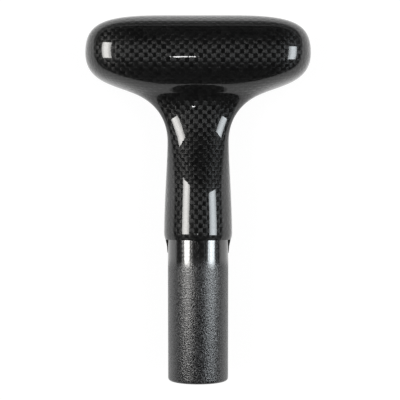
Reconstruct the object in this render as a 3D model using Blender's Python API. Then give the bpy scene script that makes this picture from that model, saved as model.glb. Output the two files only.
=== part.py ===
"""A moulded T-grip for the end of a tubular shaft, with the spigot that is glued into the shaft.

The part lies on its back, as on a table. +X runs along the bar, +Y from the spigot to the bar and
+Z out of the front. The origin is the middle of the spigot's end face.
"""

import math

import bmesh
import bpy

for leftover in list(bpy.data.objects):
    bpy.data.objects.remove(leftover, do_unlink=True)

MM = 0.001

# Overall sizes
GRIP_LENGTH = 100.0 * MM          # shoulder to the top of the crown
SPIGOT_LENGTH = 63.0 * MM         # end face to shoulder
BAR_LENGTH = 100.8 * MM
BAR_DEPTH = 38.8 * MM             # front to back
CROWN_HEIGHT = 16.8 * MM          # bar's centre line to the top of the crown

# Spigot, and the step up to the neck, which matches the wall of the shaft
SPIGOT_DIAMETER = 27.1 * MM       # at the shoulder
SPIGOT_TAPER = 0.3 * MM           # loss of diameter towards the end face
SPIGOT_WALL = 1.5 * MM
SPIGOT_EDGE = 1.3 * MM            # rounding of the end's outer edge
SHOULDER_STEP = 1.7 * MM
SHOULDER_EASE = 0.55 * MM         # how far the skin is drawn in at the shoulder's edge
SHOULDER_EASE_RUN = 3.0 * MM
NOSE_LENGTH = 26.0 * MM           # spigot above the shoulder, inside the neck

# Front outline, with places measured down from the bar's centre line
WAIST_WIDTH = 27.4 * MM
WAIST_DROP = 39.5 * MM
FLARE_WIDTH = 52.0 * MM           # where the hollow under the bar turns into its round underside
FLARE_DROP = 19.2 * MM
FLARE_LEAN = 1.96                 # run across for each unit of rise

# Side profile, hollowed for the thumb in front and the fingers behind
HOLLOW_DEPTH = 13.0 * MM          # front to back at the thinnest place
HOLLOW_DROP = 31.0 * MM
UNDERSIDE_DEPTH = 19.6 * MM       # front to back at the steepest place under the bar
UNDERSIDE_DROP = 17.8 * MM
UNDERSIDE_LEAN = 1.4              # half the depth gained for each unit of rise
NECK_STRAIGHT = 17.0 * MM         # round length above the shoulder

# Cross-section: 2 is an ellipse, more is flat in front with round ends
NECK_FULLNESS = 2.0
BAR_FULLNESS = 8.0
FULL_DROP = 8.0 * MM              # below the bar's centre line the section starts to lose its flat
ROUND_DROP = 30.0 * MM            # and here it is an ellipse
FLAT_DIP = 0.2 * MM               # hollow of the bar's flat, so that it rests on two places
FLAT_SHARE = 0.5                  # share of the half width that dips

# Laminates, cores and fits
SKIN_WALL = 1.3 * MM
SEAM_GAP = 0.3 * MM               # between the two skins
GLUE_GAP = 0.3 * MM
STRAP_WIDTH = 8.0 * MM
STRAP_THICKNESS = 0.8 * MM
STRAP_LIFT = 2.0 * MM             # strap's ends above the spigot's nose
CORE_SPLIT_DROP = 18.0 * MM       # joint of the two cores, below the bar's centre line
TENON_WIDTH = 14.0 * MM
TENON_DEPTH = 7.0 * MM
TENON_LENGTH = 14.0 * MM
TAIL_LENGTH = 12.0 * MM           # neck core inside the spigot's nose
PLUG_LENGTH = 8.0 * MM

# Beads of resin that the mould left in the corner of the shoulder, on the seam
FILLET_LENGTH = 6.0 * MM
FILLET_WIDTH = 1.6 * MM
FILLET_RISE = 0.95 * MM           # out from the spigot at the shoulder
FILLET_TOE = 0.15 * MM            # out from the spigot at the far end
FILLET_GAP = 0.1 * MM

# Places that follow from the sizes
SHOULDER = SPIGOT_LENGTH
TOP = SHOULDER + GRIP_LENGTH
CENTRE_LINE = TOP - CROWN_HEIGHT
NECK_RADIUS = SPIGOT_DIAMETER / 2 + SHOULDER_STEP
END_RADIUS = (SPIGOT_DIAMETER - SPIGOT_TAPER) / 2
BORE_RADIUS = END_RADIUS - SPIGOT_WALL
NOSE_TOP = SHOULDER + NOSE_LENGTH
CORE_SPLIT = CENTRE_LINE - CORE_SPLIT_DROP
SOCKET_INSET = SKIN_WALL + GLUE_GAP
BORE_INSET = SOCKET_INSET + SPIGOT_WALL
REBATE_INSET = SOCKET_INSET + STRAP_THICKNESS + GLUE_GAP

# Mesh counts
RING_POINTS = 40
STATIONS = 34
EDGE_STEPS = 4
FINE_STEPS = 180

# The cores' many fine cuts come out whole with this solver, and not with the exact one
CORE_SOLVER = "MANIFOLD"

# How far a cutter runs past what it cuts, and a part of a core into the rest of it
OVERRUN = 20.0 * MM
TENON_OVERLAP = 3.0 * MM
TAIL_OVERLAP = 0.9 * MM


def leg(start, end, lean_start=0.0, lean_end=0.0, ease_start=0.4, ease_end=0.4):
    """A cubic from one (along, across) point to another, as four alongs and four acrosses."""
    run = end[0] - start[0]
    along = (start[0], start[0] + ease_start * run, end[0] - ease_end * run, end[0])
    across = (
        start[1],
        start[1] + ease_start * run * lean_start,
        end[1] - ease_end * run * lean_end,
        end[1],
    )
    return along, across


def crown(across, ease_along, ease_across):
    """A cubic from the bar's centre line that closes flat on the top of the crown."""
    along = (CENTRE_LINE, CENTRE_LINE + ease_along * CROWN_HEIGHT, TOP, TOP)
    return along, (across, across, ease_across * across, 0.0)


def front_outline():
    """Half the width, from the shoulder to the top."""
    shoulder = (SHOULDER, NECK_RADIUS)
    waist = (CENTRE_LINE - WAIST_DROP, WAIST_WIDTH / 2)
    flare = (CENTRE_LINE - FLARE_DROP, FLARE_WIDTH / 2)
    end = (CENTRE_LINE, BAR_LENGTH / 2)
    return (
        leg(shoulder, waist, ease_start=0.40, ease_end=0.20),
        leg(waist, flare, lean_end=FLARE_LEAN, ease_start=0.62, ease_end=0.10),
        leg(flare, end, lean_start=FLARE_LEAN, ease_start=0.28, ease_end=0.71),
        crown(end[1], ease_along=0.97, ease_across=0.76),
    )


def side_profile():
    """Half the depth, from the shoulder to the top."""
    shoulder = (SHOULDER, NECK_RADIUS)
    straight = (SHOULDER + NECK_STRAIGHT, NECK_RADIUS)
    hollow = (CENTRE_LINE - HOLLOW_DROP, HOLLOW_DEPTH / 2)
    underside = (CENTRE_LINE - UNDERSIDE_DROP, UNDERSIDE_DEPTH / 2)
    bar = (CENTRE_LINE, BAR_DEPTH / 2)
    return (
        leg(shoulder, straight),
        leg(straight, hollow, ease_start=0.28, ease_end=0.30),
        leg(hollow, underside, lean_end=UNDERSIDE_LEAN, ease_start=0.30, ease_end=0.22),
        leg(underside, bar, lean_start=UNDERSIDE_LEAN, ease_start=0.34, ease_end=0.31),
        crown(bar[1], ease_along=0.58, ease_across=0.58),
    )


FRONT_OUTLINE = front_outline()
SIDE_PROFILE = side_profile()


def cubic(points, t):
    a, b, c, d = points
    s = 1.0 - t
    return a * s**3 + 3 * b * s**2 * t + 3 * c * s * t**2 + d * t**3


def read_curve(chain, along):
    """The distance across, read from a chain of cubics at one place along the axis."""
    alongs, acrosses = next((piece for piece in chain if along <= piece[0][3]), chain[-1])
    low = 0.0
    high = 1.0
    for _ in range(50):
        middle = (low + high) / 2
        if cubic(alongs, middle) < along:
            low = middle
        else:
            high = middle
    return cubic(acrosses, high)


def half_width(along):
    return read_curve(FRONT_OUTLINE, along)


def half_depth(along):
    return read_curve(SIDE_PROFILE, along)


def fullness(along):
    """The section's exponent across, from the round neck to the flat-fronted bar."""
    start = CENTRE_LINE - ROUND_DROP
    share = (along - start) / (ROUND_DROP - FULL_DROP)
    share = min(max(share, 0.0), 1.0)
    return NECK_FULLNESS + (BAR_FULLNESS - NECK_FULLNESS) * share**2 * (3 - 2 * share)


def slope(function, along):
    step = 0.01 * MM
    low = max(along - step, SHOULDER)
    high = min(along + step, TOP)
    return (function(high) - function(low)) / (high - low)


def stations():
    """Places along the grip, evenly spaced along its outline and its profile."""
    places = []
    lengths = [0.0]
    for i in range(FINE_STEPS + 1):
        share = 1.0 - (1.0 - i / FINE_STEPS) ** 2
        places.append(SHOULDER + GRIP_LENGTH * share)
    for before, after in zip(places, places[1:]):
        across = half_width(after) - half_width(before)
        deep = half_depth(after) - half_depth(before)
        lengths.append(lengths[-1] + math.hypot(after - before, 0.5 * across, deep))
    picked = [SHOULDER, SHOULDER + SHOULDER_EASE_RUN / 3, SHOULDER + SHOULDER_EASE_RUN]
    spread = lengths[-1] / STATIONS
    wanted = spread
    for place, length in zip(places, lengths):
        if length >= wanted:
            wanted += spread
            if place > picked[-1] and place < TOP:
                picked.append(place)
    nearest = min(picked, key=lambda place: abs(place - CENTRE_LINE))
    picked[picked.index(nearest)] = CENTRE_LINE
    return picked


def quadrant(width, depth, power):
    """A quarter of a section, from its side to its front, spaced by length and by turning alike."""
    fine = []
    for i in range(FINE_STEPS + 1):
        angle = math.pi / 2 * i / FINE_STEPS
        across = max(math.cos(angle), 0.0) ** (2 / power)
        fine.append((width * across, depth * math.sin(angle)))
    runs = [(b[0] - a[0], b[1] - a[1]) for a, b in zip(fine, fine[1:])]
    total = sum(math.hypot(*run) for run in runs)
    shares = [0.0]
    length = 0.0
    for run in runs:
        length += math.hypot(*run)
        turn = 1.0 - math.atan2(run[1], -run[0]) / (math.pi / 2)
        shares.append(max(shares[-1], 0.5 * length / total + 0.5 * turn))
    shares[-1] = 1.0
    count = RING_POINTS // 4
    points = []
    for k in range(count):
        wanted = k / count
        i = next(n for n in range(FINE_STEPS) if shares[n + 1] > wanted)
        t = (wanted - shares[i]) / (shares[i + 1] - shares[i])
        t = min(max(t, 0.0), 1.0)
        points.append((fine[i][0] + t * runs[i][0], fine[i][1] + t * runs[i][1]))
    points.append((0.0, depth))
    return points


def dip(share, power):
    """How far the bar's flat is hollowed at a share of the half width."""
    flat = (power - NECK_FULLNESS) / (BAR_FULLNESS - NECK_FULLNESS)
    return FLAT_DIP * flat * max(1.0 - (share / FLAT_SHARE) ** 2, 0.0)


def closed_section(width, depth, power):
    """A whole section, once round from +X."""
    quarter = [(x, z - dip(x / width, power)) for x, z in quadrant(width, depth, power)]
    half = quarter + [(-x, z) for x, z in reversed(quarter[:-1])]
    return half + [(x, -z) for x, z in reversed(half[1:-1])]


def outward(along, x, z, width, depth, power):
    """The unit normal of the skin at a point of a section."""
    share = abs(x) / width
    growth = share**power
    swell = growth * math.log(share) * slope(fullness, along) if share > 1e-9 else 0.0
    nx = math.copysign(power * share ** (power - 1) / width, x)
    nz = 2 * z / depth**2
    ny = swell - power * growth / width * slope(half_width, along)
    ny -= 2 * (z / depth) ** 2 / depth * slope(half_depth, along)
    size = math.hypot(nx, ny, nz)
    return nx / size, ny / size, nz / size


def drawn_in(along):
    """How far the outer skin is drawn in near the shoulder's edge."""
    rest = 1.0 - (along - SHOULDER) / SHOULDER_EASE_RUN
    return SHOULDER_EASE * max(rest, 0.0) ** 2


def skin_ring(along):
    """A ring of the outer skin."""
    ease = drawn_in(along)
    section = closed_section(half_width(along) - ease, half_depth(along) - ease, fullness(along))
    return [(x, along, z) for x, z in section]


def inner_ring(along, inset):
    """A ring that lies an even inset below the skin."""
    width = half_width(along)
    depth = half_depth(along)
    power = fullness(along)
    ring = []
    for x, z in closed_section(width, depth, power):
        nx, ny, nz = outward(along, x, z, width, depth, power)
        ring.append((x - inset * nx, along - inset * ny, z - inset * nz))
    return ring


def flat_ring(along, inset):
    """The same ring, brought onto one plane."""
    return [(x, along, z) for x, _, z in inner_ring(along, inset)]


def round_ring(along, radius):
    turn = 2 * math.pi / RING_POINTS
    angles = [turn * k for k in range(RING_POINTS)]
    return [(radius * math.cos(a), along, radius * math.sin(a)) for a in angles]


def lowered(ring, drop):
    return [(x, y - drop, z) for x, y, z in ring]


def grow_ring(mesh, ring):
    """Extrudes a closed loop of vertices and gives the new loop in the same order."""
    loop = set(ring)
    edges = {e for v in ring for e in v.link_edges if e.other_vert(v) in loop}
    grown = bmesh.ops.extrude_edge_only(mesh, edges=list(edges))["geom"]
    fresh = {v for v in grown if isinstance(v, bmesh.types.BMVert)}
    return [next(e.other_vert(v) for e in v.link_edges if e.other_vert(v) in fresh) for v in ring]


def loft(name, rings, tube=False):
    """A mesh through rings of points, capped at both ends or joined end to end as a tube's wall."""
    mesh = bmesh.new()
    ring = bmesh.ops.create_circle(mesh, segments=RING_POINTS, radius=1.0)["verts"]
    first = ring
    for n, points in enumerate(rings):
        if n:
            ring = grow_ring(mesh, ring)
        for vert, point in zip(ring, points):
            vert.co = point
    open_edges = [e for e in mesh.edges if len(e.link_faces) == 1]
    if tube:
        bmesh.ops.bridge_loops(mesh, edges=open_edges)
    else:
        bmesh.ops.contextual_create(mesh, geom=[e for e in open_edges if e.verts[0] in first])
        bmesh.ops.contextual_create(mesh, geom=[e for e in open_edges if e.verts[0] in ring])
    bmesh.ops.recalc_face_normals(mesh, faces=mesh.faces[:])
    data = bpy.data.meshes.new(name)
    mesh.to_mesh(data)
    mesh.free()
    return data


def block(name, low, high):
    """A box between two corners."""
    mesh = bmesh.new()
    verts = bmesh.ops.create_cube(mesh, size=1.0)["verts"]
    size = [b - a for a, b in zip(low, high)]
    middle = [(a + b) / 2 for a, b in zip(low, high)]
    bmesh.ops.scale(mesh, vec=size, verts=verts)
    bmesh.ops.translate(mesh, vec=middle, verts=verts)
    data = bpy.data.meshes.new(name)
    mesh.to_mesh(data)
    mesh.free()
    return data


def material(name, colour, roughness, metallic=0.0):
    finish = bpy.data.materials.new(name)
    finish.use_nodes = True
    shader = finish.node_tree.nodes["Principled BSDF"]
    shader.inputs["Base Color"].default_value = (*colour, 1.0)
    shader.inputs["Roughness"].default_value = roughness
    shader.inputs["Metallic"].default_value = metallic
    return finish


def add_piece(name, data, finish):
    piece = bpy.data.objects.new(name, data)
    data.materials.append(finish)
    data.shade_smooth()
    data.set_sharp_from_angle(angle=math.radians(35))
    bpy.context.collection.objects.link(piece)
    return piece


def add_cutter(name, data):
    cutter = bpy.data.objects.new(name, data)
    cutter.hide_render = True
    cutter.display_type = "WIRE"
    bpy.context.collection.objects.link(cutter)
    return cutter


def combine(piece, other, operation, solver="EXACT"):
    """Adds a live Boolean."""
    step = piece.modifiers.new(f"{operation.lower()} {other.name}", "BOOLEAN")
    step.operation = operation
    step.solver = solver
    step.object = other


STATION_LIST = stations()


def skin_form(name):
    """The outer form of the grip, closed at the shoulder."""
    return loft(name, [skin_ring(along) for along in STATION_LIST])


def inner_form(name, inset):
    """The form below the skin, run on past the shoulder."""
    rings = [inner_ring(along, inset) for along in STATION_LIST]
    return loft(name, [lowered(rings[0], OVERRUN - inset)] + rings)


def slab(name, thickness, along_low):
    """A slab about the seam's plane."""
    half = thickness / 2
    reach = BAR_LENGTH / 2 + OVERRUN
    return block(name, (-reach, along_low, -half), (reach, TOP + OVERRUN, half))


def slice_block(name, along_low, along_high):
    """A block that takes a length of the grip."""
    reach = BAR_LENGTH / 2 + OVERRUN
    deep = BAR_DEPTH / 2 + NECK_RADIUS
    return block(name, (-reach, along_low, -deep), (reach, along_high, deep))


def make_skins(finish):
    """The two half shells of the grip, moulded to one wall and split on the seam's plane."""
    cavity = add_cutter("cutter_grip_cavity", inner_form("cutter_grip_cavity", SKIN_WALL))
    reach = BAR_LENGTH / 2 + OVERRUN
    deep = BAR_DEPTH / 2 + NECK_RADIUS
    near = SEAM_GAP / 2
    halves = {
        "front_grip_shell": ((-reach, 0.0, near), (reach, TOP + OVERRUN, deep)),
        "rear_grip_shell": ((-reach, 0.0, -deep), (reach, TOP + OVERRUN, -near)),
    }
    for name, corners in halves.items():
        side = add_cutter(f"cutter_{name}", block(f"cutter_{name}", *corners))
        shell = add_piece(name, skin_form(name), finish)
        combine(shell, cavity, "DIFFERENCE")
        combine(shell, side, "INTERSECT")


def make_strap(finish):
    """The tape that laps the seam inside, from one side of the neck over the crown to the other."""
    hollow = inner_form("cutter_strap_inside", SOCKET_INSET + STRAP_THICKNESS)
    hollow = add_cutter("cutter_strap_inside", hollow)
    band = slab("cutter_strap_band", STRAP_WIDTH, NOSE_TOP + STRAP_LIFT)
    band = add_cutter("cutter_strap_band", band)
    strap = add_piece("seam_strap", inner_form("seam_strap", SOCKET_INSET), finish)
    combine(strap, hollow, "DIFFERENCE")
    combine(strap, band, "INTERSECT")


def tenon_block(name, clearance):
    """The neck core's tenon, or with a clearance the mortise that takes it."""
    wide = TENON_WIDTH / 2 + clearance
    deep = TENON_DEPTH / 2 + clearance
    foot = CORE_SPLIT - TENON_OVERLAP
    return block(name, (-wide, foot, -deep), (wide, CORE_SPLIT + TENON_LENGTH + clearance, deep))


def core_form(name, finish):
    """A core that fills the skins, let in for the strap with glue all round it."""
    core = add_piece(name, inner_form(name, SOCKET_INSET), finish)
    combine(core, bpy.data.objects["cutter_rebate"], "DIFFERENCE", CORE_SOLVER)
    combine(core, bpy.data.objects["cutter_rebate_floor"], "UNION", CORE_SOLVER)
    return core


def make_cores(finish):
    """The foam inside the grip: one core in the bar, and one in the neck that is tenoned into it."""
    rebate_foot = NOSE_TOP + STRAP_LIFT - GLUE_GAP
    add_cutter("cutter_rebate", slab("cutter_rebate", STRAP_WIDTH + 2 * GLUE_GAP, rebate_foot))
    add_cutter("cutter_rebate_floor", inner_form("cutter_rebate_floor", REBATE_INSET))

    above = slice_block("cutter_bar_length", CORE_SPLIT, TOP + OVERRUN)
    above = add_cutter("cutter_bar_length", above)
    mortise = add_cutter("cutter_mortise", tenon_block("cutter_mortise", GLUE_GAP))
    bar = core_form("crossbar_core", finish)
    combine(bar, above, "INTERSECT", CORE_SOLVER)
    combine(bar, mortise, "DIFFERENCE", CORE_SOLVER)

    foot = NOSE_TOP + GLUE_GAP
    between = slice_block("cutter_neck_length", foot, CORE_SPLIT - GLUE_GAP)
    between = add_cutter("cutter_neck_length", between)
    tenon = add_cutter("cutter_tenon", tenon_block("cutter_tenon", 0.0))
    tail_places = (NOSE_TOP - TAIL_LENGTH, NOSE_TOP - TAIL_LENGTH / 2, foot + TAIL_OVERLAP)
    tail = loft("cutter_tail", [flat_ring(y, BORE_INSET + GLUE_GAP) for y in tail_places])
    tail = add_cutter("cutter_tail", tail)
    neck = core_form("neck_core", finish)
    combine(neck, between, "INTERSECT", CORE_SOLVER)
    combine(neck, tail, "UNION", CORE_SOLVER)
    combine(neck, tenon, "UNION", CORE_SOLVER)


def make_spigot(finish):
    """The tube that goes into the shaft, with a nose shaped to the inside of the neck."""
    top = SHOULDER - GLUE_GAP
    rings = []
    for k in range(EDGE_STEPS + 1):
        angle = math.pi / 2 * k / EDGE_STEPS
        along = SPIGOT_EDGE * (1.0 - math.sin(angle))
        rings.append(round_ring(along, END_RADIUS - SPIGOT_EDGE * (1.0 - math.cos(angle))))
    rings.reverse()
    rings.append(round_ring(top, SPIGOT_DIAMETER / 2))
    nose = [s for s in STATION_LIST if s < NOSE_TOP - NOSE_LENGTH / 8] + [NOSE_TOP]
    rings += [flat_ring(along, SOCKET_INSET) for along in nose]
    rings += [flat_ring(along, BORE_INSET) for along in reversed(nose)]
    rings.append(round_ring(top, BORE_RADIUS))
    rings.append(round_ring(PLUG_LENGTH, BORE_RADIUS))
    rings.append(round_ring(0.0, BORE_RADIUS))
    return add_piece("spigot_tube", loft("spigot_tube", rings, tube=True), finish)


def make_plug(finish):
    """The plug that closes the spigot, flush with its end."""
    radius = BORE_RADIUS - GLUE_GAP
    rings = [round_ring(0.0, radius), round_ring(PLUG_LENGTH, radius)]
    return add_piece("end_plug", loft("end_plug", rings), finish)


def make_fillet(name, side, finish):
    """A bead of resin in the corner of the shoulder, on one end of the seam."""
    foot = SHOULDER - FILLET_LENGTH
    head = SHOULDER - FILLET_GAP
    wall = SPIGOT_DIAMETER / 2 + FILLET_GAP
    mesh = bmesh.new()
    outline = (
        (wall, foot),
        (wall + FILLET_TOE, foot),
        (wall + (FILLET_TOE + FILLET_RISE) / 3, SHOULDER - FILLET_LENGTH / 2),
        (wall + FILLET_RISE, head),
        (wall, head),
    )
    verts = [mesh.verts.new((side * x, y, -FILLET_WIDTH / 2)) for x, y in outline]
    face = mesh.faces.new(verts)
    grown = bmesh.ops.extrude_face_region(mesh, geom=[face])["geom"]
    lifted = [v for v in grown if isinstance(v, bmesh.types.BMVert)]
    bmesh.ops.translate(mesh, vec=(0.0, 0.0, FILLET_WIDTH), verts=lifted)
    bmesh.ops.recalc_face_normals(mesh, faces=mesh.faces[:])
    data = bpy.data.meshes.new(name)
    mesh.to_mesh(data)
    mesh.free()
    return add_piece(name, data, finish)


def main():
    carbon = material("clear_coated_carbon", (0.012, 0.012, 0.013), 0.12)
    tape = material("carbon_tape", (0.02, 0.02, 0.021), 0.5)
    foam = material("core_foam", (0.78, 0.72, 0.58), 0.9)
    sanded = material("sanded_carbon", (0.10, 0.10, 0.105), 0.55)
    plug = material("plug_foam", (0.03, 0.03, 0.03), 0.8)
    resin = material("cured_resin", (0.015, 0.014, 0.013), 0.2)
    make_skins(carbon)
    make_strap(tape)
    make_cores(foam)
    make_spigot(sanded)
    make_plug(plug)
    make_fillet("left_seam_fillet", -1, resin)
    make_fillet("right_seam_fillet", 1, resin)


main()
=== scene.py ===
"""Dresses a moulded T-grip: woven carbon skins under a clear coat, a sanded spigot, resin and foam."""

import bisect
import math

import bmesh
import bpy
from bpy.props import FloatProperty, FloatVectorProperty, PointerProperty
from mathutils import Matrix, Vector


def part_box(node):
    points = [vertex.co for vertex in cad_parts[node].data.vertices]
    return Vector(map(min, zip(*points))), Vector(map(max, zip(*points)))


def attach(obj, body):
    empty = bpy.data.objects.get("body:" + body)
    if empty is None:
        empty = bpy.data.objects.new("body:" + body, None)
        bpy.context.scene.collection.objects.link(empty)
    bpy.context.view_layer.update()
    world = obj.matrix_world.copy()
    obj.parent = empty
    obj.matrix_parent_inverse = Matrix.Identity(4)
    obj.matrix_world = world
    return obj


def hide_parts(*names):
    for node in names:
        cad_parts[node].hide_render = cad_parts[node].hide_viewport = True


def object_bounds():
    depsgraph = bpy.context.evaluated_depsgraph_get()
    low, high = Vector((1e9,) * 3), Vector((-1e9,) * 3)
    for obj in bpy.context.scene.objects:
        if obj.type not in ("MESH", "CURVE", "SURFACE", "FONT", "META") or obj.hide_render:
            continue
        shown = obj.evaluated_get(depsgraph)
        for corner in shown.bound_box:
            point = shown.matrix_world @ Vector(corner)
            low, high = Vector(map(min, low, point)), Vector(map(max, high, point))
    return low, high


bl_info = {
    "name": "Carbon T-grip",
    "version": (1, 0, 0),
    "blender": (4, 5, 0),
    "location": "3D View > Sidebar > T-grip",
    "description": "Builds the visible surfaces of a moulded carbon T-grip and its spigot",
    "category": "Add Mesh",
}

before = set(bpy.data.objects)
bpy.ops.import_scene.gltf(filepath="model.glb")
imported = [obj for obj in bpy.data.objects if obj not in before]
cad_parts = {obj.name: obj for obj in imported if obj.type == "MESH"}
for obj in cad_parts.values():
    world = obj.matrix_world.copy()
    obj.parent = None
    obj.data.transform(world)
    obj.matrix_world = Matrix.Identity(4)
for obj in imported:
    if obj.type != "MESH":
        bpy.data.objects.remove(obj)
CAD_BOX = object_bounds()
SKIN_LOW, SKIN_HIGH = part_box("front_grip_shell")
_, PLUG_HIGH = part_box("end_plug")
BEAD_LOW, BEAD_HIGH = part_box("right_seam_fillet")

MM = 0.001
BODY = "root"
CLOTH_MAP = "cloth"

# Mesh counts, the angles past which an edge is rounded or sharp, and how rows are spaced
SKIN_COLUMNS = 132
SKIN_ROWS = 132
FINE_STEPS = 400
HALVINGS = 50
TURN_STEPS = 128
EDGE_STEPS = 6
SKIN_EDGE_STEPS = 2
BEAD_EDGE_STEPS = 3
ROUNDED_ANGLE = math.radians(50)
SHARP_ANGLE = math.radians(40)
MERGE_GAP = 0.001 * MM
WIDTH_WEIGHT = 0.5

# Resin beads: shares of their sink and width, and the rounding of their edges
BEAD_TOE = 0.1
BEAD_DIP = 0.3
BEAD_SOFT = 0.3 * MM

# Cloth on the rear skin, moved by these shares of a tow
REAR_SHIFT = (0.4, 0.7)

# Weave
WAVER_SCALE = 130.0
WAVER_REACH = 0.45
SIDE_POWER = 2.6
RUN_POWER = 3.0
FIBRES_ACROSS = 16.0
FIBRES_ALONG = 0.9

# Cloth under its clear coat
DARK_GRAIN = 0.3
LIGHT_GRAIN = 0.7
LEAST_TONE = 0.3
TOW_ROUGH = 0.3
TOW_ROUGH_BY_LOT = 0.14
TOW_ROUGH_BY_GRAIN = 0.16
FIBRE_RELIEF = 0.2
CLOTH_RELIEF = 0.09 * MM
QUARTER_TURN = 0.25
RESIN_IOR = 1.5
CLOTH_SPECULAR = 0.22
TOW_ANISOTROPY = 0.85
COAT_IOR = 1.52
COAT_ROUGH = 0.025
PEEL_SCALE = 160.0
PEEL_BY_CROWN = 0.05
PEEL_DEPTH = 0.03 * MM

# Spigot: its glossy zone, measured down from the shoulder, and its sanded one
GLOSS_FOOT = 13.5 * MM
GLOSS_HEAD = 7.0 * MM
RAGGED_SCALE = 220.0
RAGGED_REACH = 3.0 * MM
SPECKLE_SCALE = 1700.0
DARK_SPECKLE = 0.42
LIGHT_SPECKLE = 0.62
GLOSSY_ROUGH = 0.18
GLOSSY_ROUGH_BY_GRAIN = 0.1
SANDED_ROUGH = 0.16
SANDED_ROUGH_BY_SPECKLE = 0.24
GLOSSY_RELIEF = 0.15
SPIGOT_RELIEF = 0.2 * MM
SPIGOT_SPECULAR = 0.8
SPIGOT_COAT_ROUGH = 0.03

# Resin, tape and foam
FLOW_SCALE = 900.0
WARM_RESIN = 1.8
RESIN_ROUGH = 0.12
RESIN_ROUGH_BY_FLOW = 0.2
RESIN_RELIEF = 0.1 * MM
TAPE_STRETCH = (300.0, 300.0, 6000.0)
PALE_TAPE = 1.7
TAPE_ROUGH = 0.4
TAPE_ROUGH_BY_FIBRE = 0.2
TAPE_RELIEF = 0.05 * MM
PIT_FLOOR = 0.05
PIT_RIM = 0.55
# Share of the foam colour left on the pit floors: painted shade in the pits
PIT_PAINTED_SHADE = 0.7
FOAM_ROUGH = 0.82
FOAM_ROUGH_BY_PIT = 0.1
PLUG_CELLS = 1400.0
PLUG_PITS = 0.1 * MM
CORE_CELLS = 1800.0
CORE_PITS = 0.15 * MM

# Soft boxes: name, lean from overhead in degrees, place along the axis, width, height and tint
SOFT_BOXES = (
    ("left_soft_box", -42.6, 0.213, 0.305, 0.474, (1.0, 0.985, 0.96)),
    ("right_soft_box", 51.8, 0.1125, 0.325, 0.365, (0.72, 0.77, 0.8)),
)
BOX_FALL_START = 0.2
BOX_MIDDLE = 1.15
BOX_EDGE = 0.6

# Small lamp that makes the streak on the bar
STRIP_PLACE = (-0.039, -0.1775, 2.0)
STRIP_AIM = (-0.007, 0.142, 0.019)
STRIP_SIZE = (0.041, 0.085)
STRIP_RADIANCE = 24.0

# Broad lamps that light the colours
LAMP_ASIDE = 0.9
LAMP_ALONG = 0.1
LAMP_HEIGHT = 1.1
LAMP_AIM = (0.0, 0.08, 0.0)
LAMP_SIZE = (0.7, 0.7)
LAMP_POWER = 7.0

# Floor: levels, and the distances in metres over which its image in the gloss changes; that image is painted
# darker near the part, a painted shade
FLOOR_GREY = 0.8
FLOOR_FAINT = 0.15
FLOOR_SEEN = 0.92
FLOOR_GAP = 0.05 * MM
FLOOR_MIDDLE = (0.0, 0.1, 0.0)
FLOOR_SHADE_RINGS = (0.03, 0.32)
FLOOR_SHADE_LEVELS = (0.8, 0.86)
FLOOR_HEAD = (0.22, 0.27)
FLOOR_SIDES = (0.6, 0.9)
FLOOR_BEYOND = 0.04

# World: levels, and the share of a direction over which the horizon turns into the ceiling
SKY_SEEN = 1.0
SKY_SOFT = 0.32
HORIZON = 0.8
CEILING = 0.03
HORIZON_TOP = 0.03
NEAR_SIDE = (-0.5, -0.95)
NEAR_SIDE_LIFT = 0.05


def length(label, text, value):
    return FloatProperty(name=label, description=text, default=value, unit="LENGTH", precision=5)


def number(label, text, value):
    return FloatProperty(name=label, description=text, default=value)


def colour(label, text, value):
    return FloatVectorProperty(name=label, description=text, default=value, size=3, subtype="COLOR")


class GripShape(bpy.types.PropertyGroup):
    """Sizes of the two skins. Drops are measured down from the bar's centre line."""

    shoulder: length("Shoulder", "Place of the shoulder along the axis", SKIN_LOW[1])
    top: length("Top", "Place of the crown's top along the axis", SKIN_HIGH[1])
    bar_length: length("Bar length", "Bar from end to end", 2 * SKIN_HIGH[0])
    bar_depth: length("Bar depth", "Bar from front to back", 2 * SKIN_HIGH[2])
    crown_height: length("Crown height", "Bar's centre line to the top", 16.8 * MM)
    crown_land: length("Crown land", "Half the straight top of the crown", 12.0 * MM)
    neck_radius: length("Neck radius", "Round end of the neck", 15.25 * MM)
    neck_straight: length("Neck straight", "Round length above the shoulder", 17.0 * MM)
    ease: length("Shoulder ease", "How far the skin draws in at the shoulder", 0.55 * MM)
    ease_run: length("Ease run", "Length over which it draws in", 3.0 * MM)
    waist_width: length("Waist width", "Narrowest width of the neck", 27.4 * MM)
    waist_drop: length("Waist drop", "Place of the narrowest width", 39.5 * MM)
    flare_width: length("Flare width", "Width where the hollow turns round", 52.0 * MM)
    flare_drop: length("Flare drop", "Place of that width", 19.2 * MM)
    flare_lean: number("Flare lean", "Run across for each unit of rise there", 1.96)
    hollow_depth: length("Hollow depth", "Thinnest depth of the neck", 13.0 * MM)
    hollow_drop: length("Hollow drop", "Place of the thinnest depth", 31.0 * MM)
    underside_depth: length("Underside depth", "Depth at the steepest place under the bar", 19.6 * MM)
    underside_drop: length("Underside drop", "Place of that depth", 17.8 * MM)
    underside_lean: number("Underside lean", "Half depth gained for each unit of rise there", 1.4)
    neck_fullness: number("Neck fullness", "Section exponent of the neck", 2.0)
    bar_fullness: number("Bar fullness", "Section exponent of the bar", 8.0)
    full_drop: length("Full drop", "Below here the section loses its flat", 8.0 * MM)
    round_drop: length("Round drop", "Here the section is an ellipse", 30.0 * MM)
    wall: length("Wall", "Thickness of the skin", 1.3 * MM)
    seam: length("Seam", "Hairline between the two skins", 0.08 * MM)
    edge: length("Edge", "Rounding of the skins' edges", 0.12 * MM)


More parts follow.
